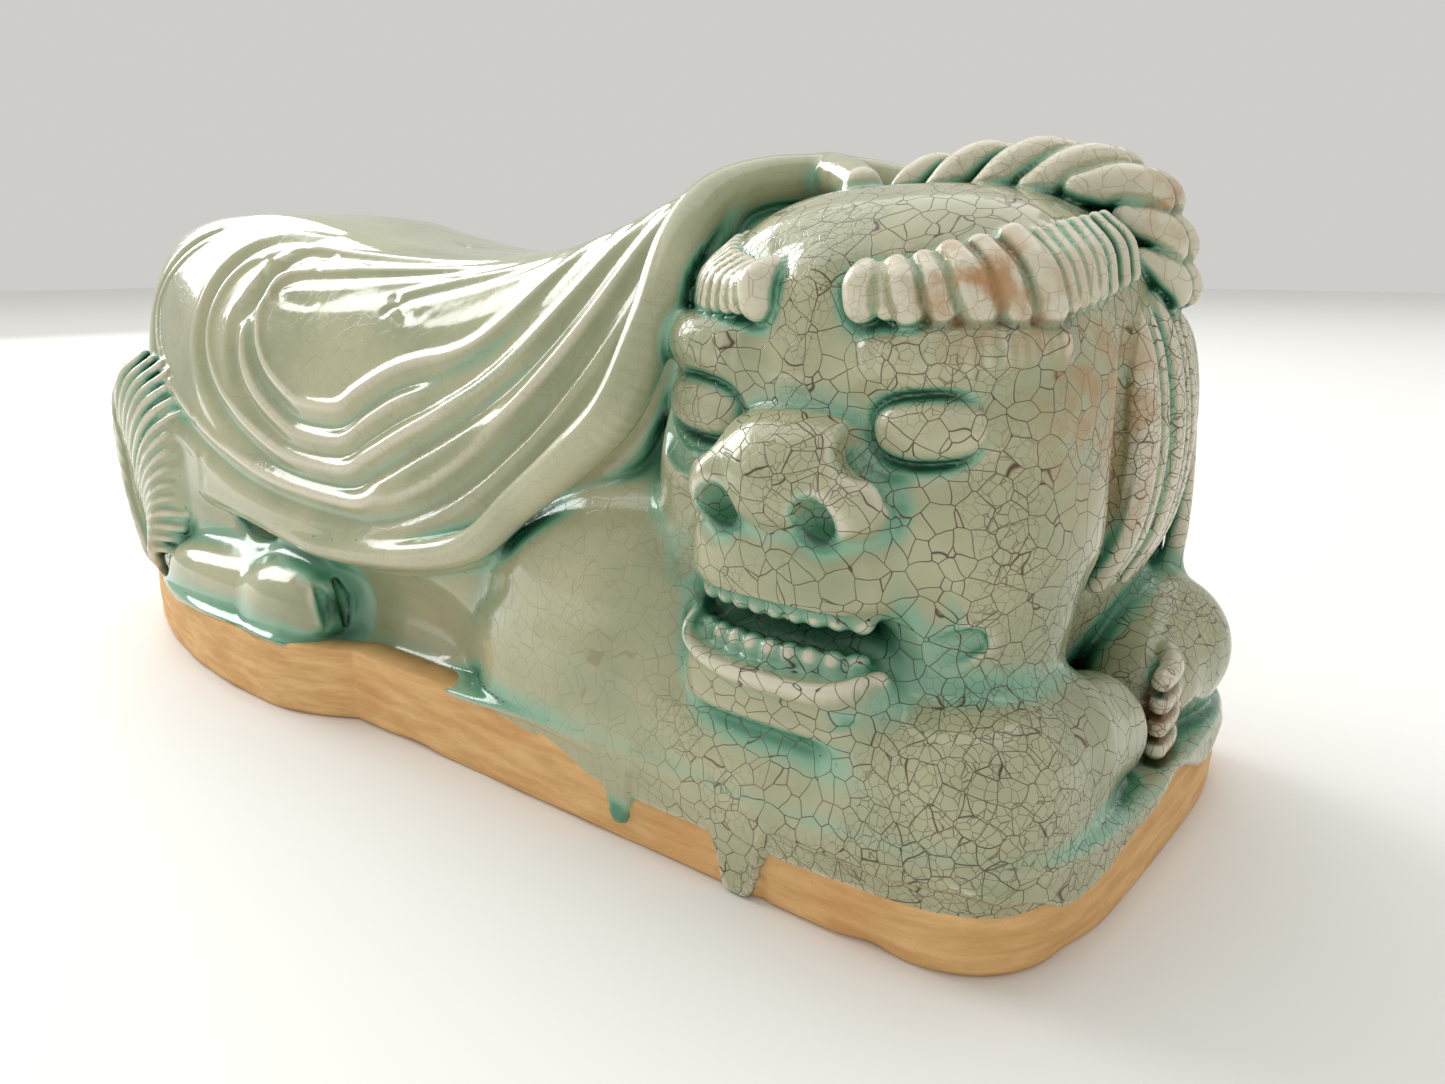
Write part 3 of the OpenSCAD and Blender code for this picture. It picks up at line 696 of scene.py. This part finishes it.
def sculpt_crest(clay):
    """Wave-like tufts that break over the head and down its side."""
    name = "mane_crest"
    clay.rope(name, [[110, 7, 124, 5], [128, 5, 125, 5.5], [148, 5, 125, 5.8],
                     [160, 6, 119.5, 5.6], [164, 8, 108, 5.2]], 3.0)
    tufts = [
        [124.5, 0, 136.8, 4], [136, 0, 138.4, 7], [148, 0, 138.2, 12], [159, 1, 135.7, 24],
        [168.2, 2, 129.2, 50], [172.2, 3, 119.0, 78], [173.4, 4, 110.5, 90],
    ]
    for k, (x, y, z, lean) in enumerate(tufts):
        a = math.radians(lean)
        along = np.array([math.cos(a), 0, -math.sin(a)])
        up = np.array([math.sin(a), 0, math.cos(a)])
        size = (0.85, 1.0, 1.05, 1.05, 1.0, 0.8, 0.72)[k]
        peak = np.array([x, y, z])
        for back in (0.0, 6.5):
            rows = []
            for t, h, f, r in ((-8.5, -11, -7, 2.8), (-5.8, -6.8, -3.5, 3.9), (-2.4, -3.9, -1, 3.8),
                               (0.9, -3.2, 0.5, 2.9), (2.8, -5.2, 1, 1.8)):
                spot = peak + (along * t + up * h) * size + [0, f * size + back, 0]
                rows.append([*spot, r * size])
            clay.rope(name, rows, 0.4, step=1.5)


def sculpt_mane(clay):
    """Long combed flutes down the side and the back of the neck."""
    name = "mane_lock_left"
    clay.blob(name, (156, 12, 83), (12, 26, 26), 3.0, power=2.6)
    y = -12.5
    for r in (2.9, 2.4, 2.9, 2.0, 1.9, 1.8, 1.8, 1.8, 1.8, 1.8, 1.8, 1.8, 1.8):
        y += r * 0.95
        far = ramp(y, 5, 38)
        x = 171.3 + 2.2 * bell(y, 8, 14) - 5.5 * far
        clay.rope(name, [[x - 6, y + 1, 109 - 4 * far, r * 0.8], [x - 1.8, y - 0.5, 99, r],
                         [x, y, 84, r * 1.05], [x - 2.2, y + 1.5, 68, r],
                         [x - 7.5, y + 4, 56, r * 0.75]], 0.4)
        y += r * 0.95
    name = "mane_lock_back"
    clay.blob(name, (129, 28, 78), (37, 21, 42), 6.0, power=2.6)
    strands = 17
    for k in range(strands):
        u = -1 + 2 * k / (strands - 1)
        x = 129 + 34 * u
        y = 5 * (1 - u * u)
        wave = 1.5 * math.sin(k * 1.9)
        clay.rope(name, [[x - 2, 20 + y, 121 - 9 * u * u, 1.7],
                         [x + wave, 35 + y, 108 - 7 * u * u, 2.3], [x + 1, 42 + y, 82, 2.4],
                         [x - wave, 44 + y, 56, 2.3], [x - 1, 42 + y, 38, 1.8]], 0.5)


def sculpt_forelegs(clay):
    """Folded forelegs that lie along the front of the plinth, and their paws."""
    clay.blob("foreleg_right", (116, -40, 18), (56, 23.6, 11.5), 4, power=3.6)
    clay.blob("foreleg_right", (120, -36, 24), (40, 23.5, 10.5), 5, power=2.8)
    clay.blob("foreleg_right", (124, -42, 26), (32, 19.5, 9.5), 5, power=2.8)
    clay.blob("foreleg_right", (157, -39.5, 28), (20.8, 24, 17.5), 7, power=2.8)
    clay.rope("forepaw_right", [[165.5, -27, 31, 13], [167.5, -13, 29.5, 11]], 4)
    clay.rope("foreleg_left", [[92, 44, 33, 15.5], [125, 49, 32, 13], [152, 44, 32, 16],
                               [164, 36, 33, 15.5]], 6)
    clay.rope("forepaw_left", [[165, 33, 32, 14], [167, 20, 31, 11.5], [168, 12, 29, 9]], 5)
    for i in range(4):
        z = 22.8 + 4.8 * i
        clay.rope("forepaw_left", [[170.5, 19, z + 0.8, 3.0], [175.6, 10, z, 2.5],
                                   [176.6, 1, z - 0.4, 2.1]], 0.4)


def sculpt_hind_paws(clay):
    """Long folded hind feet on the plinth's rear, each with two slots between its toes."""
    for s, name in ((-1, "right"), (1, "left")):
        clay.blob(f"hind_paw_{name}", (-68, s * 56.5, 25), (38, 11.5, 9.8), 7, power=2.3)
        clay.blob(f"hind_paw_{name}", (-32, s * 57.5, 26), (17, 11.5, 10.2), 7, power=2.6)
        for i in range(2):
            y = s * (56.5 + 5.5 * i)
            clay.rope(None, [[-19, y, 33.5, 0.9], [-15.2, y, 28.5, 1.8], [-15.6, y, 22.5, 0.9]], 0.5)


def sculpt_tail(clay):
    """A leaf-shaped plume against the rump, its barbs fanning up and out from its low tip."""
    clay.blob("tail", (-122, -52, 54), (29, 6.5, 31), 3.0, turn=(-7, 0, -8))
    rib = spline([[-112, -62, 20], [-125, -59.5, 34], [-137, -56.5, 50], [-143, -54, 66],
                  [-138, -53, 81]], 1.0)
    right = spline([[-108, -60.5, 24], [-99, -60, 35], [-93, -58.5, 48], [-92, -57, 62],
                    [-97, -56, 74], [-109, -55, 83], [-124, -54, 87]], 1.0)
    left = spline([[-121, -58, 28], [-139, -53.5, 41], [-151, -50, 56], [-152, -49.5, 70],
                   [-145, -51, 82]], 1.0)
    for count, edge, reach, bend in ((16, right, 0.62, 4.5), (8, left, 0.5, 2.5)):
        for i in range(count):
            u = i / (count - 1)
            a = rib[int(reach * u * (len(rib) - 1))]
            b = edge[int((0.06 + 0.94 * u) * (len(edge) - 1))]
            rows = []
            for t, r in ((0.0, 1.1), (0.3, 1.8), (0.65, 2.1), (1.0, 1.5)):
                arch = math.sin(math.pi * t)
                lift = [-0.8 * bend * arch, 2.2 - 3.4 * arch, bend * arch]
                rows.append([*(a + (b - a) * t + lift), r])
            clay.rope("tail", rows, 1.0)
    clay.rope(None, [[-86, -60, 76, 1.5], [-80, -62, 56, 2.2], [-86, -64, 38, 1.6]], 2.0)


def sculpted():
    """The whole figure in clay, on samples that are finest over the head and the near side."""
    x = np.concatenate([np.arange(-171, 84, 1.0 * COARSE), np.arange(84, 184, 0.62 * COARSE)])
    y = np.concatenate([np.arange(-74.5, -59, 0.55 * COARSE), np.arange(-59, 20, 0.66 * COARSE),
                        np.arange(20, 74.5, 0.85 * COARSE)])
    z = np.concatenate([np.arange(-2.5, 22, 0.55 * COARSE), np.arange(22, 144, 0.7 * COARSE)])
    clay = Clay(x, y, z)
    sculpt_deck(clay)
    fields = sculpt_trunk(clay)
    sculpt_limb_masses(clay)
    sculpt_drape(clay, fields)
    sculpt_folds(clay)
    sculpt_neck(clay)
    sculpt_skull(clay)
    sculpt_jaw(clay)
    sculpt_nose(clay)
    sculpt_mouth(clay)
    for side in (-1, 1):
        sculpt_eye(clay, side)
        sculpt_brow(clay, side)
    sculpt_rim(clay)
    sculpt_mane(clay)
    sculpt_crest(clay)
    sculpt_forelegs(clay)
    sculpt_hind_paws(clay)
    sculpt_tail(clay)
    return clay


# ---- meshes ----------------------------------------------------------------


def mesh_object(name, verts, faces):
    """A smooth-shaded object from points in mm and faces that all have as many corners."""
    mesh = bpy.data.meshes.new(name)
    mesh.vertices.add(len(verts))
    mesh.vertices.foreach_set("co", (np.asarray(verts, np.float32) * MM).ravel())
    faces = np.asarray(faces, np.int32)
    mesh.loops.add(faces.size)
    mesh.loops.foreach_set("vertex_index", faces.ravel())
    mesh.polygons.add(len(faces))
    mesh.polygons.foreach_set("loop_start", np.arange(len(faces), dtype=np.int32) * faces.shape[1])
    mesh.update(calc_edges=True)
    mesh.polygons.foreach_set("use_smooth", np.full(len(faces), True))
    piece = bpy.data.objects.new(name, mesh)
    bpy.context.scene.collection.objects.link(piece)
    return piece


def paint(piece, name, values):
    """Stores one number per vertex for the material to read."""
    layer = piece.data.attributes.new(name, "FLOAT", "POINT")
    layer.data.foreach_set("value", np.asarray(values, np.float32))


def near(p, centre, radii):
    """1 at a spot, falling to 0 about one radius away."""
    q = (p - np.asarray(centre, float)) / np.asarray(radii, float)
    return np.exp(-(q * q).sum(1))


def glaze_depth_and_shade(clay, p, n):
    """How deep glaze pools at a point and how dark painted shade makes it, both from how closed in the
    point is, and how thin the glaze runs.
    """
    # Closed-in spots get the pool greens: partly real glaze pooling, partly painted shade in creases and
    # recesses.
    pool_and_shade = np.zeros(len(p))
    for h, share in ((1.2, 0.55), (2.6, 0.37), (5.0, 0.08)):
        pool_and_shade += share * np.clip((h - clay.sample(p + n * h)) / h, 0, 1)
    bulge = np.zeros(len(p))
    for k in range(3):
        step = np.zeros(3)
        step[k] = 1.6
        bulge += clay.sample(p + step) + clay.sample(p - step)
    return pool_and_shade, np.clip(bulge / 6 * 1.6, 0, 1)


# The pieces whose glaze runs so thin that it is cream
CREAM = {"mane_crest", "mane_lock_left", "brow_left", "brow_right", "upper_teeth", "lower_teeth"}


def deep_pools_and_shade(p):
    """Darker green spots: painted shade in the mouth, its corner, the nostrils and the slots between the
    toes, real deep glaze at the ends of drips, and a greener band along the ledge under the belly.
    """
    deep = 0.8 * near(p, (125.6, -53, 52), (17, 4.5, 4.5)) + 0.2 * near(p, (155, -50, 53), (5, 4, 2.5))
    for side in (-1, 1):
        deep += 0.6 * near(p, (FACE_X + 10.4 * side, -61, 73), (4, 5, 5))
    deep += 0.8 * near(p, (-15, -60, 28), (2.5, 6, 5))
    return deep + 0.6 * near(p, (91, -63, 6), (5, 4, 4)) + 0.35 * near(p, (-5, -58, 20), (42, 8, 2.5))


def glazed_pieces(clay):
    """Every glazed piece as an object, painted with what its glaze needs to know."""
    made = {}
    for name, (verts, faces) in skinned(clay).items():
        piece = mesh_object(name, verts, faces)
        n = clay.normals(verts, 0.8)
        pool_and_shade, bulge = glaze_depth_and_shade(clay, verts, n)
        # Groove depths and the dark spots join the mask: pooled glaze, with painted shade in recesses, the
        # mouth and the toe slots.
        pool_and_shade = pool_and_shade + 0.12 * clay.sample(verts, clay.pool) + deep_pools_and_shade(verts)
        paint(piece, "pool", pool_and_shade)
        share = 0.3 if name == "plinth_deck" else 1.7 if name in CREAM else 1.0
        paint(piece, "thin", np.clip(bulge * share, 0, 1))
        x = verts[:, 0]
        face = ramp(x, 84, 112)
        craze = 0.12 + 0.88 * face
        chest = near(verts, (75, -50, 45), (34, 40, 40))
        craze = np.maximum(craze * (1 - 0.6 * chest), 0.3 * ramp(x, 25, 45))
        craze = np.clip(craze + 0.5 * near(verts, (160, -40, 65), (26, 26, 30)), 0, 1)
        if name in ("leaf_drape", "leaf_rim"):
            craze = np.full(len(verts), 0.18)
        if name in ("mane_crest", "brow_left", "brow_right"):
            craze = 0.4 * craze
        paint(piece, "craze", craze)
        rust = near(verts, (158, -48, 113), (12, 12, 9)) + 0.8 * near(verts, (172, -30, 96), (8, 14, 18))
        rust += 0.9 * near(verts, (172, 2, 128), (7, 10, 8)) + 0.7 * near(verts, (-113, -62, 24), (6, 8, 6))
        rust += 0.9 * near(verts, (176, 6, 27), (5, 9, 9)) + 0.5 * near(verts, (170, -14, 84), (7, 6, 24))
        paint(piece, "rust", np.clip(rust, 0, 1))
        piece.data.normals_split_custom_set_from_vertices([tuple(v) for v in n])
        made[name] = piece
    return made


def swept(section, steps):
    """A closed ring: the plinth's outline swept by a closed section of (inset, z)."""
    loops = []
    for inset, z in section:
        loop = outline(inset, steps)
        loops.append(np.column_stack([loop, np.full(len(loop), z)]))
    verts = np.vstack(loops)
    n = len(loops[0])
    faces = []
    for k in range(len(loops)):
        j = (k + 1) % len(loops)
        for i in range(n):
            m = (i + 1) % n
            faces.append((k * n + i, j * n + i, j * n + m, k * n + m))
    return verts, faces


def plinth_wall():
    """The unglazed wall, with softly worn edges, tool marks and small chips."""
    rows = [(1.6, 0.0), (0.5, 0.45), (0.0, 1.5)] + [(0.0, z) for z in np.arange(2.3, 18.4, 0.8)]
    section = rows + [(0.3, 18.9), (1.0, 19.1), (WALL_T, 19.1), (WALL_T, 0.0)]
    verts, faces = swept(section, 220)
    x, y, z = verts.T
    outer = outline_gap(x, y) > -3
    wave = 0.22 * np.sin(x * 0.09 + 1.3) + 0.16 * np.sin(x * 0.23 + z * 0.6)
    wave = wave + 0.1 * np.sin(x * 0.61 + z * 1.7)
    chip = 1.6 * near(verts, (150, -63, 0.5), (5, 6, 2.4)) + 1.2 * near(verts, (176, -40, 1), (4, 6, 2))
    chip = chip + 0.7 * near(verts, (127, -62, 6), (1.2, 5, 8)) + 0.9 * near(verts, (20, -62, 0), (7, 5, 2))
    move = np.where(outer, wave * ramp(z, 0, 2) - chip, 0)
    away = np.column_stack([np.where(x > 150, (x - 150) / 30, 0), y / 62, 0 * z])
    away /= np.maximum(np.linalg.norm(away, axis=1, keepdims=True), 1)
    return mesh_object("plinth_wall", verts + away * move[:, None], faces)


# ---- materials -------------------------------------------------------------


class Graph:
    """Short calls for building a material's nodes."""

    def __init__(self, name):
        self.material = bpy.data.materials.new(name)
        self.material.use_nodes = True
        self.nodes = self.material.node_tree.nodes
        self.links = self.material.node_tree.links
        self.shader = self.nodes["Principled BSDF"]

    def put(self, target, value):
        """Links an output to an input, or sets the input to a plain value."""
        if hasattr(value, "links"):
            self.links.new(value, target)
        else:
            target.default_value = value

    def node(self, kind, inputs=None, **settings):
        """A new node with its settings and inputs."""
        n = self.nodes.new(kind)
        for key, value in settings.items():
            setattr(n, key, value)
        for key, value in (inputs or {}).items():
            self.put(n.inputs[key], value)
        return n

    def math(self, operation, a, b=0.0, clamp=False):
        """One sum of two values."""
        n = self.node("ShaderNodeMath", {0: a, 1: b}, operation=operation, use_clamp=clamp)
        return n.outputs[0]

    def map(self, value, low, high, to_low=0.0, to_high=1.0):
        """The value moved smoothly from one range to another."""
        n = self.node("ShaderNodeMapRange", {0: value, 1: low, 2: high, 3: to_low, 4: to_high})
        n.interpolation_type = "SMOOTHSTEP"
        return n.outputs[0]

    def mix(self, share, a, b):
        """Colour a, with a share of colour b."""
        n = self.node("ShaderNodeMix", data_type="RGBA")
        self.put(n.inputs[0], share)
        self.put(n.inputs[6], a)
        self.put(n.inputs[7], b)
        return n.outputs[2]

    def attribute(self, name):
        """A number that paint() stored on the mesh."""
        return self.node("ShaderNodeAttribute", attribute_name=name).outputs["Fac"]

    def noise(self, vector, scale, detail=3.0, rough=0.55):
        """Cloudy noise as a value and as a colour."""
        n = self.node("ShaderNodeTexNoise", {"Vector": vector, "Scale": scale, "Detail": detail,
                                             "Roughness": rough})
        return n.outputs["Fac"], n.outputs["Color"]

    def place(self):
        """The place on the object, in metres."""
        return self.node("ShaderNodeTexCoord").outputs["Object"]

    def warp(self, vector, scale, amount):
        """The same coordinates pushed about by noise, for lines that wander."""
        _, colour = self.noise(vector, scale, 2.0)
        off = self.node("ShaderNodeVectorMath", {0: colour, 1: (0.5, 0.5, 0.5)}, operation="SUBTRACT")
        push = self.node("ShaderNodeVectorMath", {0: off.outputs[0]}, operation="SCALE")
        push.inputs["Scale"].default_value = amount
        total = self.node("ShaderNodeVectorMath", {0: vector, 1: push.outputs[0]}, operation="ADD")
        return total.outputs[0]

    def cracks(self, vector, scale, width):
        """1 along the edges of irregular cells, 0 inside them."""
        n = self.node("ShaderNodeTexVoronoi", {"Vector": vector, "Scale": scale},
                      feature="DISTANCE_TO_EDGE")
        return self.map(n.outputs["Distance"], 0.0, width, 1.0, 0.0)


def srgb(r, g, b):
    """A colour from 0 to 255 on screen, as the shader wants it."""
    lin = [c / 255 / 12.92 if c <= 10 else ((c / 255 + 0.055) / 1.055) ** 2.4 for c in (r, g, b)]
    return (*lin, 1.0)


OLIVE = srgb(158, 164, 130)
OLIVE_PALE = srgb(184, 184, 150)
CREAM_GLAZE = srgb(218, 213, 190)
# Greens of pooled glaze; the deepest also serves as painted shade in creases, the mouth and the toe slots.
POOL_LIGHT = srgb(140, 184, 156)
POOL_MID = srgb(84, 146, 116)
POOL_DEEP_AND_SHADE = srgb(26, 86, 62)
STAIN_FAINT = srgb(150, 98, 52)
STAIN_DARK = srgb(74, 42, 16)
RUST = srgb(178, 126, 66)
OCHRE = srgb(120, 78, 36)
BUFF = srgb(212, 164, 104)
BUFF_PALE = srgb(236, 194, 136)
BUFF_RED = srgb(206, 134, 74)
BUFF_GRAIN = srgb(140, 98, 58)
FLOOR = srgb(240, 239, 236)


def celadon():
    """Celadon glaze: olive where even, cream where thin, green where it pools, darker green as painted
    shade in recesses, and crackled.
    """
    g = Graph("celadon")
    p = g.place()
    pool, thin = g.attribute("pool"), g.attribute("thin")
    craze, rust = g.attribute("craze"), g.attribute("rust")
    cloud, _ = g.noise(p, 24, 4.0)
    fine, _ = g.noise(p, 160, 3.0)
    base = g.mix(g.map(cloud, 0.35, 0.65), OLIVE, OLIVE_PALE)
    base = g.mix(g.map(thin, 0.06, 0.40), base, CREAM_GLAZE)
    # The pool mask, roughened by noise, sets the greens: pooled glaze and painted shade in recesses.
    glaze_and_shade_depth = g.math("ADD", pool, g.math("MULTIPLY", g.math("SUBTRACT", cloud, 0.5), 0.22))
    base = g.mix(g.map(glaze_and_shade_depth, 0.10, 0.34), base, POOL_LIGHT)
    base = g.mix(g.map(glaze_and_shade_depth, 0.30, 0.52), base, POOL_MID)
    base = g.mix(g.map(glaze_and_shade_depth, 0.50, 0.80), base, POOL_DEEP_AND_SHADE)
    wander = g.warp(p, 90, 0.0035)
    large = g.cracks(wander, 240, 0.032)
    small = g.cracks(g.warp(p, 160, 0.002), 520, 0.05)
    patchy, _ = g.noise(p, 38, 2.0)
    show = g.math("MULTIPLY", small, g.map(patchy, 0.42, 0.62))
    lines = g.math("MAXIMUM", large, g.math("MULTIPLY", show, 0.75))
    lines = g.math("MULTIPLY", lines, craze, clamp=True)
    stain = g.mix(craze, STAIN_FAINT, STAIN_DARK)
    base = g.mix(lines, base, stain)
    spread = g.math("MULTIPLY", rust, g.map(fine, 0.40, 0.62))
    base = g.mix(g.math("MULTIPLY", spread, 0.85, clamp=True), base, RUST)
    ochre = g.math("MULTIPLY", g.map(rust, 0.15, 0.6), g.map(glaze_and_shade_depth, 0.12, 0.4))
    base = g.mix(g.math("MULTIPLY", ochre, 0.8), base, OCHRE)
    g.put(g.shader.inputs["Base Color"], base)
    g.shader.inputs["Roughness"].default_value = 0.1
    g.shader.inputs["IOR"].default_value = 1.5
    g.shader.inputs["Coat Weight"].default_value = 0.15
    g.shader.inputs["Coat Roughness"].default_value = 0.04
    swell, _ = g.noise(p, 55, 3.0)
    height = g.math("SUBTRACT", g.math("MULTIPLY", swell, 0.6), g.math("MULTIPLY", lines, 0.12))
    bump = g.node("ShaderNodeBump", {"Height": height, "Distance": 0.0009, "Strength": 0.5})
    g.put(g.shader.inputs["Normal"], bump.outputs[0])
    return g.material


def bare_clay():
    """Matt buff stoneware, streaked along the wall."""
    g = Graph("bare_clay")
    p = g.place()
    stretch = g.node("ShaderNodeMapping", {"Vector": p, "Scale": (1.0, 1.0, 7.0)}).outputs[0]
    streak, _ = g.noise(stretch, 60, 5.0, 0.65)
    patch, _ = g.noise(p, 26, 4.0)
    grain, _ = g.noise(p, 900, 3.0, 0.7)
    colour = g.mix(g.map(streak, 0.3, 0.7), BUFF, BUFF_PALE)
    colour = g.mix(g.math("MULTIPLY", g.map(patch, 0.5, 0.75), 0.55), colour, BUFF_RED)
    colour = g.mix(g.math("MULTIPLY", g.map(grain, 0.6, 0.8), 0.35), colour, BUFF_GRAIN)
    g.put(g.shader.inputs["Base Color"], colour)
    g.put(g.shader.inputs["Roughness"], g.map(streak, 0.2, 0.8, 0.78, 0.95))
    height = g.math("ADD", g.math("MULTIPLY", streak, 0.7), g.math("MULTIPLY", grain, 0.3))
    bump = g.node("ShaderNodeBump", {"Height": height, "Distance": 0.0008, "Strength": 0.6})
    g.put(g.shader.inputs["Normal"], bump.outputs[0])
    return g.material


def floor_material():
    """The plain pale floor."""
    g = Graph("floor")
    g.shader.inputs["Base Color"].default_value = FLOOR
    g.shader.inputs["Roughness"].default_value = 0.9
    return g.material


# ---- scene -----------------------------------------------------------------

FLOOR_SIZE = 8000
ROOM_COLOUR = (1.0, 0.985, 0.95, 1.0)
ROOM_STRENGTH = 0.62

# Camera: millimetres for sensor and lens, metres for its place, degrees down and round
SENSOR, LENS = 36.0, 27.03
EYE = (0.234, -0.2061, 0.117)
TILT, HEADING = 14.8, 38.95


def area_light(name, place, target, size, power):
    """A soft rectangular light that points at its target."""
    light = bpy.data.lights.new(name, "AREA")
    light.shape = "RECTANGLE"
    light.size, light.size_y = size
    light.energy = power
    lamp = bpy.data.objects.new(name, light)
    bpy.context.scene.collection.objects.link(lamp)
    lamp.location = place
    lamp.rotation_euler = (Vector(target) - Vector(place)).to_track_quat("-Z", "Y").to_euler()


def studio():
    """The floor, the pale room and two soft lights."""
    half = FLOOR_SIZE / 2
    corners = [(-half, -half, 0), (half, -half, 0), (half, half, 0), (-half, half, 0)]
    floor = mesh_object("floor", corners, [(0, 1, 2, 3)])
    floor.data.materials.append(floor_material())
    world = bpy.data.worlds.new("studio")
    world.use_nodes = True
    background = world.node_tree.nodes["Background"]
    background.inputs["Color"].default_value = ROOM_COLOUR
    background.inputs["Strength"].default_value = ROOM_STRENGTH
    bpy.context.scene.world = world
    area_light("window", (-1.25, 0.05, 0.75), (0, 0, 0.08), (1.1, 0.75), 17)
    area_light("overhead", (-0.5, 0.6, 2.2), (0.02, 0, 0.05), (3.0, 2.4), 27)


def camera():
    """The camera, at the place and angle that were fitted to the photograph."""
    cam = bpy.data.cameras.new("camera")
    cam.sensor_width = SENSOR
    cam.lens = LENS
    eye = bpy.data.objects.new("camera", cam)
    bpy.context.scene.collection.objects.link(eye)
    eye.location = EYE
    eye.rotation_euler = (math.radians(90 - TILT), 0, math.radians(HEADING))
    bpy.context.scene.camera = eye


def main():
    """Loads the frame, puts the sculpted pieces in place of its nodes and lights them."""
    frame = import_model()
    pieces = glazed_pieces(sculpted())
    wall = plinth_wall()
    glaze, clay_finish = celadon(), bare_clay()
    for name, piece in pieces.items():
        piece.data.materials.append(glaze)
        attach(piece, "root")
        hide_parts(name)
    wall.data.materials.append(clay_finish)
    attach(wall, "root")
    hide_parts("plinth_wall")
    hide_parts("glaze_runs")
    floor_node = frame["nodes"]["plinth_floor"]
    floor_node.data.materials.clear()
    floor_node.data.materials.append(clay_finish)
    studio()
    camera()
    bpy.context.scene.view_settings.view_transform = "Standard"


main()
